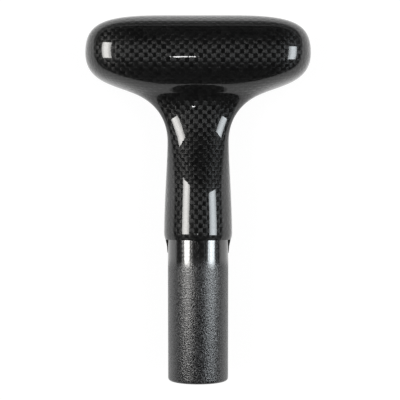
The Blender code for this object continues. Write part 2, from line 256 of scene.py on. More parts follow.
class SpigotShape(bpy.types.PropertyGroup):
    """Sizes of the spigot, its plug and the resin beads."""

    top_radius: length("Top radius", "Spigot at the shoulder", 13.55 * MM)
    end_radius: length("End radius", "Spigot at its end", 13.4 * MM)
    wall: length("Wall", "Thickness of the tube", 1.5 * MM)
    edge: length("Edge", "Rounding of the end's outer edge", 1.3 * MM)
    lead: length("Lead", "Length that runs on inside the neck", 6.0 * MM)
    plug_chamfer: length("Plug chamfer", "Edge of the plug", 0.4 * MM)
    bead_sink: length("Bead sink", "How far a bead sits into its corner", 0.25 * MM)


class Finish(bpy.types.PropertyGroup):
    """Colours and scales of the finishes."""

    tow: length("Tow width", "Width of one tow of the cloth", 1.98 * MM)
    fibre_dark: colour("Fibre, dark", "Carbon in the darker fibres", (0.001, 0.001, 0.0011))
    fibre_light: colour("Fibre, light", "Carbon in the lighter fibres", (0.0115, 0.0118, 0.0117))
    # Painted sheen: the warp tows by the shoulder take this lighter colour in place of the lamps' gloss on
    # them
    fibre_painted_sheen: colour("Fibre, lit", "Tows along the spigot, by the shoulder", (0.03, 0.03, 0.031))
    sanded: colour("Sanded", "Sanded laminate", (0.06, 0.061, 0.064))
    sanded_dark: colour("Sanded, dark", "Fibres that the sanding laid bare", (0.002, 0.002, 0.0022))
    resin: colour("Resin", "Cured resin", (0.012, 0.011, 0.01))
    tape: colour("Tape", "Carbon tape inside", (0.02, 0.02, 0.021))
    foam: colour("Foam", "Core foam", (0.78, 0.72, 0.58))
    plug: colour("Plug", "Plug foam", (0.03, 0.03, 0.031))


class Stage(bpy.types.PropertyGroup):
    """Camera, floor and lamps."""

    camera_height: length("Camera height", "Camera above the axis", 0.5)
    view_width: length("View width", "Width seen at the axis", 179.1 * MM)
    view_x: length("View across", "Middle of the view across", 0.85 * MM)
    view_y: length("View along", "Middle of the view along the axis", 80.6 * MM)
    floor_size: length("Floor size", "Side of the floor", 6.0)
    box_distance: length("Box distance", "Soft boxes from the axis", 0.7)
    box_strength: number("Box strength", "Radiance of the soft boxes", 14.0)


def cubic(points, t):
    a, b, c, d = points
    s = 1.0 - t
    return a * s**3 + 3 * b * s**2 * t + 3 * c * s * t**2 + d * t**3


def leg(start, end, lean_start=0.0, lean_end=0.0, ease_start=0.4, ease_end=0.4):
    """A cubic from one (along, across) point to another, as four alongs and four acrosses."""
    run = end[0] - start[0]
    along = (start[0], start[0] + ease_start * run, end[0] - ease_end * run, end[0])
    across = (
        start[1],
        start[1] + ease_start * run * lean_start,
        end[1] - ease_end * run * lean_end,
        end[1],
    )
    return along, across


class GripForm:
    """The grip's outer form, read by the place along its axis."""

    def __init__(self, shape):
        self.shape = shape
        self.centre = shape.top - shape.crown_height
        self.outline = self.front_outline()
        self.profile = self.side_profile()

    def crown(self, across, ease_along, ease_across):
        """A cubic from the bar's centre line that closes flat on the top of the crown."""
        top = self.shape.top
        along = (self.centre, self.centre + ease_along * self.shape.crown_height, top, top)
        return along, (across, across, ease_across * across, 0.0)

    def front_outline(self):
        shape = self.shape
        shoulder = (shape.shoulder, shape.neck_radius)
        waist = (self.centre - shape.waist_drop, shape.waist_width / 2)
        flare = (self.centre - shape.flare_drop, shape.flare_width / 2)
        end = (self.centre, shape.bar_length / 2)
        return (
            leg(shoulder, waist, ease_start=0.40, ease_end=0.20),
            leg(waist, flare, lean_end=shape.flare_lean, ease_start=0.62, ease_end=0.10),
            leg(flare, end, lean_start=shape.flare_lean, ease_start=0.28, ease_end=0.71),
            self.crown(end[1], ease_along=0.97, ease_across=0.76),
        )

    def side_profile(self):
        shape = self.shape
        shoulder = (shape.shoulder, shape.neck_radius)
        straight = (shape.shoulder + shape.neck_straight, shape.neck_radius)
        hollow = (self.centre - shape.hollow_drop, shape.hollow_depth / 2)
        underside = (self.centre - shape.underside_drop, shape.underside_depth / 2)
        bar = (self.centre, shape.bar_depth / 2)
        lean = shape.underside_lean
        return (
            leg(shoulder, straight),
            leg(straight, hollow, ease_start=0.28, ease_end=0.30),
            leg(hollow, underside, lean_end=lean, ease_start=0.30, ease_end=0.22),
            leg(underside, bar, lean_start=lean, ease_start=0.34, ease_end=0.31),
            self.crown(bar[1], ease_along=0.58, ease_across=0.58),
        )

    @staticmethod
    def read(chain, along):
        """The distance across, read from a chain of cubics at one place along the axis."""
        alongs, acrosses = next((piece for piece in chain if along <= piece[0][3]), chain[-1])
        low = 0.0
        high = 1.0
        for _ in range(HALVINGS):
            middle = (low + high) / 2
            if cubic(alongs, middle) < along:
                low = middle
            else:
                high = middle
        return cubic(acrosses, high)

    def drawn_in(self, along):
        rest = 1.0 - (along - self.shape.shoulder) / self.shape.ease_run
        return self.shape.ease * max(rest, 0.0) ** 2

    def half_width(self, along):
        width = self.read(self.outline, along) - self.drawn_in(along)
        return max(width, self.shape.crown_land)

    def half_depth(self, along):
        return self.read(self.profile, along) - self.drawn_in(along)

    def fullness(self, along):
        shape = self.shape
        share = (along - self.centre + shape.round_drop) / (shape.round_drop - shape.full_drop)
        share = min(max(share, 0.0), 1.0)
        blend = share**2 * (3 - 2 * share)
        return shape.neck_fullness + (shape.bar_fullness - shape.neck_fullness) * blend

    def rows(self, count):
        """Places along the grip, evenly spaced along its profile and, at less weight, its outline."""
        shape = self.shape
        places = []
        lengths = [0.0]
        for i in range(FINE_STEPS + 1):
            share = 1.0 - (1.0 - i / FINE_STEPS) ** 2
            places.append(shape.shoulder + (shape.top - shape.shoulder) * share)
        sizes = [(self.half_width(p), self.half_depth(p)) for p in places]
        for i in range(FINE_STEPS):
            across = sizes[i + 1][0] - sizes[i][0]
            deep = sizes[i + 1][1] - sizes[i][1]
            rise = places[i + 1] - places[i]
            lengths.append(lengths[-1] + math.hypot(rise, WIDTH_WEIGHT * across, deep))
        return [read_table(lengths, places, lengths[-1] * k / count) for k in range(count + 1)]

    def half_section(self, along, count, lift):
        """Points of the front half of a section from +X to -X, evenly spaced."""
        width = self.half_width(along)
        depth = max(self.half_depth(along), lift)
        power = self.fullness(along)
        fine = []
        for i in range(FINE_STEPS + 1):
            angle = math.pi * i / FINE_STEPS
            across = abs(math.cos(angle)) ** (2 / power)
            fine.append((math.copysign(width * across, math.cos(angle)), depth * math.sin(angle)))
        lengths = [0.0]
        for a, b in zip(fine, fine[1:]):
            lengths.append(lengths[-1] + math.dist(a, b))
        points = []
        for k in range(count + 1):
            wanted = lengths[-1] * k / count
            x = read_table(lengths, [p[0] for p in fine], wanted)
            z = read_table(lengths, [p[1] for p in fine], wanted)
            points.append(Vector((x, along, max(z, lift))))
        return points


def read_table(keys, values, wanted):
    """A value read between the entries of a rising table."""
    i = min(max(bisect.bisect_right(keys, wanted), 1), len(keys) - 1)
    gap = keys[i] - keys[i - 1]
    share = (wanted - keys[i - 1]) / gap if gap else 0.0
    share = min(max(share, 0.0), 1.0)
    return values[i - 1] + (values[i] - values[i - 1]) * share


def girths(row):
    """Distance of each point of a row from the middle of the front, measured round the surface."""
    lengths = [0.0]
    for a, b in zip(row, row[1:]):
        lengths.append(lengths[-1] + (b - a).length)
    middle = lengths[-1] / 2
    return [l - middle for l in lengths]


def drape(rows, start):
    """Cloth coordinates: the weft lies straight along the bar, and each warp tow runs on from it."""
    across = [girths(row) for row in rows]
    along = [[0.0] * len(row) for row in rows]
    upward = range(start + 1, len(rows))
    downward = range(start - 1, -1, -1)
    for order, step in ((upward, 1), (downward, -1)):
        for r in order:
            before = r - step
            for i, point in enumerate(rows[r]):
                girth = across[r][i]
                foot = read_table(across[before], rows[before], girth)
                rise = read_table(across[before], along[before], girth)
                along[r][i] = rise + step * (point - foot).length
    return across, along


def new_object(name, mesh, finish, smooth_angle=None):
    """A piece at the origin, linked into the scene."""
    data = bpy.data.meshes.new(name)
    mesh.to_mesh(data)
    mesh.free()
    data.materials.append(finish)
    data.shade_smooth()
    if smooth_angle:
        data.set_sharp_from_angle(angle=smooth_angle)
    piece = bpy.data.objects.new(name, data)
    bpy.context.scene.collection.objects.link(piece)
    return piece


def make_skin(name, side, finish, shift):
    """One half shell: a grid laid on the form, with the cloth's coordinates as its UV map."""
    shape = bpy.context.scene.grip_shape
    form = GripForm(shape)
    places = form.rows(SKIN_ROWS)
    rows = [form.half_section(place, SKIN_COLUMNS, shape.seam / 2) for place in places]
    start = min(range(len(places)), key=lambda r: abs(places[r] - form.centre))
    across, along = drape(rows, start)

    mesh = bmesh.new()
    half = 0.5
    bmesh.ops.create_grid(mesh, x_segments=SKIN_COLUMNS, y_segments=SKIN_ROWS, size=half)
    cloth = mesh.loops.layers.uv.new(CLOTH_MAP)
    spots = {}
    for vert in mesh.verts:
        column = round((vert.co.x + half) * SKIN_COLUMNS)
        row = round((vert.co.y + half) * SKIN_ROWS)
        spots[vert] = (row, column)
    for vert, (row, column) in spots.items():
        x, y, z = rows[row][column]
        vert.co = (x, y, side * z)
    for face in mesh.faces:
        for corner in face.loops:
            row, column = spots[corner.vert]
            corner[cloth].uv = (across[row][column] + shift[0], along[row][column] + shift[1])
    bmesh.ops.recalc_face_normals(mesh, faces=mesh.faces[:])
    outside = Vector((0, form.centre, side))
    middle = min(mesh.faces, key=lambda face: (face.calc_center_median() - outside).length)
    if middle.normal.z * side < 0:
        bmesh.ops.reverse_faces(mesh, faces=mesh.faces[:])

    skin = new_object(name, mesh, finish)
    thick = skin.modifiers.new("wall", "SOLIDIFY")
    thick.thickness = shape.wall
    thick.offset = -1.0
    soft = skin.modifiers.new("soft edges", "BEVEL")
    soft.width = shape.edge
    soft.segments = SKIN_EDGE_STEPS
    soft.limit_method = "ANGLE"
    soft.angle_limit = ROUNDED_ANGLE
    soft.harden_normals = True
    return skin


def turn_profile(points):
    """A solid of revolution about the Y axis through (radius, along) points."""
    mesh = bmesh.new()
    verts = [mesh.verts.new((radius, along, 0.0)) for radius, along in points]
    closed = points[0][0] > 0.0
    ends = verts[1:] + verts[:1] if closed else verts[1:]
    edges = [mesh.edges.new(pair) for pair in zip(verts, ends)]
    bmesh.ops.spin(
        mesh,
        geom=verts + edges,
        cent=(0.0, 0.0, 0.0),
        axis=(0.0, 1.0, 0.0),
        angle=2 * math.pi,
        steps=TURN_STEPS,
        use_merge=True,
    )
    bmesh.ops.remove_doubles(mesh, verts=mesh.verts[:], dist=MERGE_GAP)
    bmesh.ops.recalc_face_normals(mesh, faces=mesh.faces[:])
    return mesh


def wrap_cloth(mesh, girth):
    """A UV map that wraps the cloth once round the axis."""
    cloth = mesh.loops.layers.uv.new(CLOTH_MAP)
    for face in mesh.faces:
        middle = face.calc_center_median()
        base = math.atan2(middle.z, middle.x)
        for corner in face.loops:
            point = corner.vert.co
            turn = math.atan2(point.z, point.x) - base
            turn = (turn + math.pi) % (2 * math.pi) - math.pi
            corner[cloth].uv = ((base + turn) / (2 * math.pi) * girth, point.y)


def put(tree, kind, **settings):
    node = tree.nodes.new(kind)
    for name, value in settings.items():
        setattr(node, name, value)
    return node


def feed(tree, socket, value):
    if isinstance(value, bpy.types.NodeSocket):
        tree.links.new(value, socket)
    else:
        socket.default_value = value


def reckon(tree, operation, *values):
    """A Math node's result."""
    node = put(tree, "ShaderNodeMath", operation=operation)
    for socket, value in zip(node.inputs, values):
        feed(tree, socket, value)
    return node.outputs[0]


def blend_value(tree, factor, a, b):
    node = put(tree, "ShaderNodeMix", data_type="FLOAT")
    feed(tree, node.inputs["Factor"], factor)
    feed(tree, node.inputs[2], a)
    feed(tree, node.inputs[3], b)
    return node.outputs[0]


def blend_colour(tree, factor, a, b):
    node = put(tree, "ShaderNodeMix", data_type="RGBA")
    feed(tree, node.inputs["Factor"], factor)
    feed(tree, node.inputs[6], a if isinstance(a, bpy.types.NodeSocket) else (*a, 1.0))
    feed(tree, node.inputs[7], b if isinstance(b, bpy.types.NodeSocket) else (*b, 1.0))
    return node.outputs[2]


def ramp(tree, value, low, high, start=0.0, end=1.0):
    """A smooth step of a value."""
    node = put(tree, "ShaderNodeMapRange", interpolation_type="SMOOTHSTEP")
    for socket, setting in zip(node.inputs[:5], (value, low, high, start, end)):
        feed(tree, socket, setting)
    return node.outputs[0]


def grain(tree, vector, scale, detail=2.0, roughness=0.5):
    node = put(tree, "ShaderNodeTexNoise")
    feed(tree, node.inputs["Vector"], vector)
    node.inputs["Scale"].default_value = scale
    node.inputs["Detail"].default_value = detail
    node.inputs["Roughness"].default_value = roughness
    return node.outputs["Fac"]


def stretched(tree, vector, scale):
    """A coordinate stretched along its axes."""
    node = put(tree, "ShaderNodeMapping")
    feed(tree, node.inputs["Vector"], vector)
    node.inputs["Scale"].default_value = scale
    return node.outputs[0]


def bump(tree, height, distance):
    node = put(tree, "ShaderNodeBump")
    node.inputs["Distance"].default_value = distance
    feed(tree, node.inputs["Height"], height)
    return node.outputs[0]


def new_finish(name):
    finish = bpy.data.materials.new(name)
    finish.use_nodes = True
    tree = finish.node_tree
    return finish, tree, tree.nodes["Principled BSDF"]


def object_place(tree):
    return put(tree, "ShaderNodeTexCoord").outputs["Object"]


class Weave:
    """A plain weave on the cloth's UV map: which tow is on top, its crown, its fibres and its lot."""

    def __init__(self, tree, tow):
        cloth = put(tree, "ShaderNodeUVMap", uv_map=CLOTH_MAP).outputs[0]
        apart = put(tree, "ShaderNodeSeparateXYZ")
        feed(tree, apart.inputs[0], cloth)
        across = self.wavering(tree, cloth, apart.outputs[0], tow, 0.0)
        along = self.wavering(tree, cloth, apart.outputs[1], tow, 1.0)
        column = reckon(tree, "FLOOR", across)
        row = reckon(tree, "FLOOR", along)
        self.weft = reckon(tree, "FLOORED_MODULO", reckon(tree, "ADD", column, row), 2.0)
        in_column = reckon(tree, "FRACT", across)
        in_row = reckon(tree, "FRACT", along)
        side = blend_value(tree, self.weft, in_column, in_row)
        run = blend_value(tree, self.weft, in_row, in_column)
        swell = self.hump(tree, side, SIDE_POWER)
        dive = self.hump(tree, run, RUN_POWER)
        self.crown = reckon(tree, "MULTIPLY", swell, dive)
        self.fibres = self.fibre_grain(tree, across, along, column, row)
        cell = put(tree, "ShaderNodeCombineXYZ")
        feed(tree, cell.inputs[0], column)
        feed(tree, cell.inputs[1], row)
        lot = put(tree, "ShaderNodeTexWhiteNoise", noise_dimensions="2D")
        feed(tree, lot.inputs["Vector"], cell.outputs[0])
        self.lot = lot.outputs["Value"]

    @staticmethod
    def wavering(tree, cloth, place, tow, seed):
        """A place on the cloth counted in tows, a little uneven as laid by hand."""
        waver = put(tree, "ShaderNodeTexNoise", noise_dimensions="3D")
        shifted = put(tree, "ShaderNodeVectorMath", operation="ADD")
        feed(tree, shifted.inputs[0], cloth)
        shifted.inputs[1].default_value = (0.0, 0.0, seed)
        feed(tree, waver.inputs["Vector"], shifted.outputs[0])
        waver.inputs["Scale"].default_value = WAVER_SCALE
        waver.inputs["Detail"].default_value = 2.0
        off = reckon(tree, "MULTIPLY_ADD", waver.outputs["Fac"], 2 * WAVER_REACH, -WAVER_REACH)
        return reckon(tree, "ADD", reckon(tree, "DIVIDE", place, tow), off)

    @staticmethod
    def hump(tree, place, power):
        """1 in the middle of a cell, falling to 0 at its edges."""
        off = reckon(tree, "ABSOLUTE", reckon(tree, "MULTIPLY_ADD", place, 2.0, -1.0))
        return reckon(tree, "SUBTRACT", 1.0, reckon(tree, "POWER", off, power))

    def fibre_grain(self, tree, across, along, column, row):
        """Fine streaks along the tow that is on top, new in each cell."""
        warp_vector = put(tree, "ShaderNodeCombineXYZ")
        weft_vector = put(tree, "ShaderNodeCombineXYZ")
        feed(tree, warp_vector.inputs[0], reckon(tree, "MULTIPLY", across, FIBRES_ACROSS))
        feed(tree, warp_vector.inputs[1], reckon(tree, "MULTIPLY", along, FIBRES_ALONG))
        feed(tree, warp_vector.inputs[2], column)
        feed(tree, weft_vector.inputs[0], reckon(tree, "MULTIPLY", along, FIBRES_ACROSS))
        feed(tree, weft_vector.inputs[1], reckon(tree, "MULTIPLY", across, FIBRES_ALONG))
        feed(tree, weft_vector.inputs[2], row)
        pick = put(tree, "ShaderNodeMix", data_type="VECTOR")
        feed(tree, pick.inputs["Factor"], self.weft)
        feed(tree, pick.inputs[4], warp_vector.outputs[0])
        feed(tree, pick.inputs[5], weft_vector.outputs[0])
        return grain(tree, pick.outputs[1], 1.0, detail=1.0)


def set_lacquer(shader):
    """The shader's fixed values for cloth under a clear coat."""
    shader.inputs["IOR"].default_value = RESIN_IOR
    shader.inputs["Specular IOR Level"].default_value = CLOTH_SPECULAR
    shader.inputs["Anisotropic"].default_value = TOW_ANISOTROPY
    shader.inputs["Coat Weight"].default_value = 1.0
    shader.inputs["Coat IOR"].default_value = COAT_IOR
    shader.inputs["Coat Roughness"].default_value = COAT_ROUGH


def clear_coated_carbon():
    """Plain-weave carbon cloth under a glossy clear coat with a little orange peel."""
    look = bpy.context.scene.grip_finish
    finish, tree, shader = new_finish("clear_coated_carbon")
    weave = Weave(tree, look.tow)
    patchy = reckon(tree, "MULTIPLY_ADD", weave.lot, 1.0 - LEAST_TONE, LEAST_TONE)
    tone = reckon(tree, "MULTIPLY", ramp(tree, weave.fibres, DARK_GRAIN, LIGHT_GRAIN), patchy)
    feed(tree, shader.inputs["Base Color"], blend_colour(tree, tone, look.fibre_dark, look.fibre_light))
    uneven = reckon(tree, "MULTIPLY_ADD", weave.lot, TOW_ROUGH_BY_LOT, TOW_ROUGH)
    rough = reckon(tree, "MULTIPLY_ADD", weave.fibres, TOW_ROUGH_BY_GRAIN, uneven)
    feed(tree, shader.inputs["Roughness"], rough)
    relief = reckon(tree, "MULTIPLY_ADD", weave.fibres, FIBRE_RELIEF, weave.crown)
    feed(tree, shader.inputs["Normal"], bump(tree, relief, CLOTH_RELIEF))
    tangent = put(tree, "ShaderNodeTangent", direction_type="UV_MAP", uv_map=CLOTH_MAP)
    feed(tree, shader.inputs["Tangent"], tangent.outputs[0])
    turned = reckon(tree, "MULTIPLY", weave.weft, QUARTER_TURN)
    feed(tree, shader.inputs["Anisotropic Rotation"], turned)
    set_lacquer(shader)
    peel = grain(tree, object_place(tree), PEEL_SCALE, detail=1.0)
    peel = reckon(tree, "MULTIPLY_ADD", weave.crown, PEEL_BY_CROWN, peel)
    feed(tree, shader.inputs["Coat Normal"], bump(tree, peel, PEEL_DEPTH))
    return finish


def sanded_carbon():
    """The spigot: glossy cloth by the shoulder with a painted sheen on its warp tows, sanded grey below it.
    """
    look = bpy.context.scene.grip_finish
    shape = bpy.context.scene.grip_shape
    finish, tree, shader = new_finish("sanded_carbon")
    place = object_place(tree)
    apart = put(tree, "ShaderNodeSeparateXYZ")
    feed(tree, apart.inputs[0], place)
    patches = grain(tree, place, RAGGED_SCALE, detail=3.0)
    ragged = reckon(tree, "MULTIPLY_ADD", patches, 2 * RAGGED_REACH, -RAGGED_REACH)
    height = reckon(tree, "ADD", apart.outputs[1], ragged)
    gloss = ramp(tree, height, shape.shoulder - GLOSS_FOOT, shape.shoulder - GLOSS_HEAD)

    weave = Weave(tree, look.tow)
    # Painted sheen: the crowns of the warp tows are painted towards the lighter fibre colour, as if lit by
    # the lamps
    warp = reckon(tree, "SUBTRACT", 1.0, weave.weft)
    tone = reckon(tree, "MULTIPLY", weave.crown, reckon(tree, "MULTIPLY", warp, weave.fibres))
    cloth = blend_colour(tree, tone, look.fibre_dark, look.fibre_painted_sheen)

    speckle = grain(tree, place, SPECKLE_SCALE, roughness=0.6)
    dust = ramp(tree, speckle, DARK_SPECKLE, LIGHT_SPECKLE)
    dusty = blend_colour(tree, dust, look.sanded_dark, look.sanded)
    feed(tree, shader.inputs["Base Color"], blend_colour(tree, gloss, dusty, cloth))

    cloth_rough = reckon(tree, "MULTIPLY_ADD", weave.fibres, GLOSSY_ROUGH_BY_GRAIN, GLOSSY_ROUGH)
    sanded_rough = reckon(tree, "MULTIPLY_ADD", speckle, SANDED_ROUGH_BY_SPECKLE, SANDED_ROUGH)
    feed(tree, shader.inputs["Roughness"], blend_value(tree, gloss, sanded_rough, cloth_rough))
    smooth_relief = reckon(tree, "MULTIPLY", weave.crown, gloss)
    rough_relief = reckon(tree, "MULTIPLY", speckle, reckon(tree, "SUBTRACT", 1.0, gloss))
    relief = reckon(tree, "MULTIPLY_ADD", smooth_relief, GLOSSY_RELIEF, rough_relief)
    feed(tree, shader.inputs["Normal"], bump(tree, relief, SPIGOT_RELIEF))
    shader.inputs["Specular IOR Level"].default_value = SPIGOT_SPECULAR
    shader.inputs["Coat IOR"].default_value = COAT_IOR
    shader.inputs["Coat Roughness"].default_value = SPIGOT_COAT_ROUGH
    feed(tree, shader.inputs["Coat Weight"], gloss)
    return finish


def cured_resin():
    """Dark resin, drawn and a little wavy."""
    look = bpy.context.scene.grip_finish
    finish, tree, shader = new_finish("cured_resin")
    flow = grain(tree, object_place(tree), FLOW_SCALE)
    warm = tuple(WARM_RESIN * c for c in look.resin)
    feed(tree, shader.inputs["Base Color"], blend_colour(tree, flow, look.resin, warm))
    rough = reckon(tree, "MULTIPLY_ADD", flow, RESIN_ROUGH_BY_FLOW, RESIN_ROUGH)
    feed(tree, shader.inputs["Roughness"], rough)
    feed(tree, shader.inputs["Normal"], bump(tree, flow, RESIN_RELIEF))
    return finish


def carbon_tape():
    """Carbon tape in a thin resin, with fibres along the seam."""
    look = bpy.context.scene.grip_finish
    finish, tree, shader = new_finish("carbon_tape")
    fibres = grain(tree, stretched(tree, object_place(tree), TAPE_STRETCH), 1.0)
    pale = tuple(PALE_TAPE * c for c in look.tape)
    feed(tree, shader.inputs["Base Color"], blend_colour(tree, fibres, look.tape, pale))
    rough = reckon(tree, "MULTIPLY_ADD", fibres, TAPE_ROUGH_BY_FIBRE, TAPE_ROUGH)
    feed(tree, shader.inputs["Roughness"], rough)
    feed(tree, shader.inputs["Normal"], bump(tree, fibres, TAPE_RELIEF))
    return finish


def cell_foam(name, base, scale, depth):
    """Closed-cell foam with small pits, whose floors are painted darker as painted shade."""
    finish, tree, shader = new_finish(name)
    cells = put(tree, "ShaderNodeTexVoronoi")
    feed(tree, cells.inputs["Vector"], object_place(tree))
    cells.inputs["Scale"].default_value = scale
    pits = ramp(tree, cells.outputs["Distance"], PIT_FLOOR, PIT_RIM)
    # Painted shade: the pit floors take a darker copy of the foam colour
    shade = tuple(PIT_PAINTED_SHADE * c for c in base)
    feed(tree, shader.inputs["Base Color"], blend_colour(tree, pits, shade, base))
    rough = reckon(tree, "MULTIPLY_ADD", pits, FOAM_ROUGH_BY_PIT, FOAM_ROUGH)
    feed(tree, shader.inputs["Roughness"], rough)
    feed(tree, shader.inputs["Normal"], bump(tree, pits, depth))
    return finish


class TGRIP_OT_skins(bpy.types.Operator):
    """Makes the front and rear carbon skins"""

    bl_idname = "tgrip.skins"
    bl_label = "Carbon skins"

    def execute(self, context):
        finish = clear_coated_carbon()
        tow = context.scene.grip_finish.tow
        halves = (
            ("front_skin", 1, "front_grip_shell", (0.0, 0.0)),
            ("rear_skin", -1, "rear_grip_shell", (REAR_SHIFT[0] * tow, REAR_SHIFT[1] * tow)),
        )
        for name, side, node, shift in halves:
            skin = make_skin(name, side, finish, shift)
            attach(skin, BODY)
            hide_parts(node)
        return {"FINISHED"}


class TGRIP_OT_spigot(bpy.types.Operator):
    """Makes the sanded spigot"""

    bl_idname = "tgrip.spigot"
    bl_label = "Spigot"

    def execute(self, context):
        size = context.scene.spigot_shape
        shape = context.scene.grip_shape
        tow = context.scene.grip_finish.tow
        head = shape.shoulder + size.lead
        bore = size.end_radius - size.wall
        points = [(bore, head), (size.top_radius, head), (size.top_radius, shape.shoulder)]
        for k in range(EDGE_STEPS + 1):
            angle = math.pi / 2 * k / EDGE_STEPS
            radius = size.end_radius - size.edge * (1.0 - math.cos(angle))
            points.append((radius, size.edge * (1.0 - math.sin(angle))))
        points.append((bore, 0.0))
        mesh = turn_profile(points)
        tows_round = 2 * round(math.pi * size.top_radius / tow)
        wrap_cloth(mesh, tows_round * tow)
        spigot = new_object("spigot", mesh, sanded_carbon(), SHARP_ANGLE)
        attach(spigot, BODY)
        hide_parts("spigot_tube")
        return {"FINISHED"}


class TGRIP_OT_plug(bpy.types.Operator):
    """Makes the plug in the spigot's end"""

    bl_idname = "tgrip.plug"
    bl_label = "End plug"

    def execute(self, context):
        size = context.scene.spigot_shape
        look = context.scene.grip_finish
        radius = size.end_radius - size.wall
        edge = size.plug_chamfer
        deep = PLUG_HIGH[1]
        points = [(0.0, deep), (radius, deep), (radius, edge), (radius - edge, 0.0), (0.0, 0.0)]
        finish = cell_foam("plug_foam", look.plug, PLUG_CELLS, PLUG_PITS)
        plug = new_object("plug", turn_profile(points), finish, SHARP_ANGLE)
        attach(plug, BODY)
        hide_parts("end_plug")
        return {"FINISHED"}


class TGRIP_OT_beads(bpy.types.Operator):
    """Makes the resin beads in the shoulder's corner"""

    bl_idname = "tgrip.beads"
    bl_label = "Resin beads"

    def execute(self, context):
        sink = context.scene.spigot_shape.bead_sink
        finish = cured_resin()
        half = BEAD_HIGH[2]
        outline = (
            (BEAD_LOW[0] - sink, BEAD_LOW[1]),
            (BEAD_LOW[0] + BEAD_TOE * sink, BEAD_LOW[1]),
            (BEAD_LOW[0] + BEAD_DIP * (BEAD_HIGH[0] - BEAD_LOW[0]), (BEAD_LOW[1] + BEAD_HIGH[1]) / 2),
            (BEAD_HIGH[0], BEAD_HIGH[1] + sink),
            (BEAD_LOW[0] - sink, BEAD_HIGH[1] + sink),
        )
        beads = (("left_bead", -1, "left_seam_fillet"), ("right_bead", 1, "right_seam_fillet"))
        for name, side, node in beads:
            mesh = bmesh.new()
            verts = [mesh.verts.new((side * x, y, -half)) for x, y in outline]
            grown = bmesh.ops.extrude_face_region(mesh, geom=[mesh.faces.new(verts)])["geom"]
            lifted = [v for v in grown if isinstance(v, bmesh.types.BMVert)]
            bmesh.ops.translate(mesh, vec=(0.0, 0.0, 2 * half), verts=lifted)
            bmesh.ops.recalc_face_normals(mesh, faces=mesh.faces[:])
            bead = new_object(name, mesh, finish)
            soft = bead.modifiers.new("soft", "BEVEL")
            soft.width = BEAD_SOFT
            soft.segments = BEAD_EDGE_STEPS
            soft.limit_method = "NONE"
            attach(bead, BODY)
            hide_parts(node)
        return {"FINISHED"}


class TGRIP_OT_inside(bpy.types.Operator):
    """Finishes the pieces inside: the strap and the foam cores"""

    bl_idname = "tgrip.inside"
    bl_label = "Inside"

    def execute(self, context):
        look = context.scene.grip_finish
        tape = carbon_tape()
        foam = cell_foam("core_foam", look.foam, CORE_CELLS, CORE_PITS)
        for node, finish in (("seam_strap", tape), ("crossbar_core", foam), ("neck_core", foam)):
            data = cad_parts[node].data
            data.materials.clear()
            data.materials.append(finish)
        return {"FINISHED"}


def radiant_power(radiance, size):
    """The power that gives an area lamp of this size its radiance."""
    return radiance * math.pi * size[0] * size[1]


def add_area(name, place, aim, size, power, **seen_by):
    """An area lamp that faces its aim, with its height along Y."""
    data = bpy.data.lights.new(name, "AREA")
    data.shape = "RECTANGLE"
    data.size = size[0]
    data.size_y = size[1]
    data.energy = power
    lamp = bpy.data.objects.new(name, data)
    away = (Vector(place) - Vector(aim)).normalized()
    across = Vector((0.0, 1.0, 0.0)).cross(away).normalized()
    up = away.cross(across)
    turn = Matrix((across, up, away)).transposed().to_4x4()
    lamp.matrix_world = Matrix.Translation(place) @ turn
    lamp.visible_camera = False
    for ray, seen in seen_by.items():
        setattr(lamp, f"visible_{ray}", seen)
    bpy.context.scene.collection.objects.link(lamp)
    return lamp


def soften(light):
    """Lets a soft box fall off towards its long edges, as its cloth front does."""
    light.use_nodes = True
    tree = light.node_tree
    place = put(tree, "ShaderNodeNewGeometry").outputs["Parametric"]
    apart = put(tree, "ShaderNodeSeparateXYZ")
    feed(tree, apart.inputs[0], place)
    off = reckon(tree, "ABSOLUTE", reckon(tree, "MULTIPLY_ADD", apart.outputs[0], 2.0, -1.0))
    level = ramp(tree, off, BOX_FALL_START, 1.0, BOX_MIDDLE, BOX_EDGE)
    feed(tree, tree.nodes["Emission"].inputs["Strength"], level)


def grey(level):
    return (level, level, level, 1.0)


def seen_directly(tree):
    """1 for rays from the camera and for what gloss and glass show."""
    path = put(tree, "ShaderNodeLightPath").outputs
    seen = reckon(tree, "MAXIMUM", path["Is Camera Ray"], path["Is Glossy Ray"])
    return reckon(tree, "MAXIMUM", seen, path["Is Transmission Ray"])


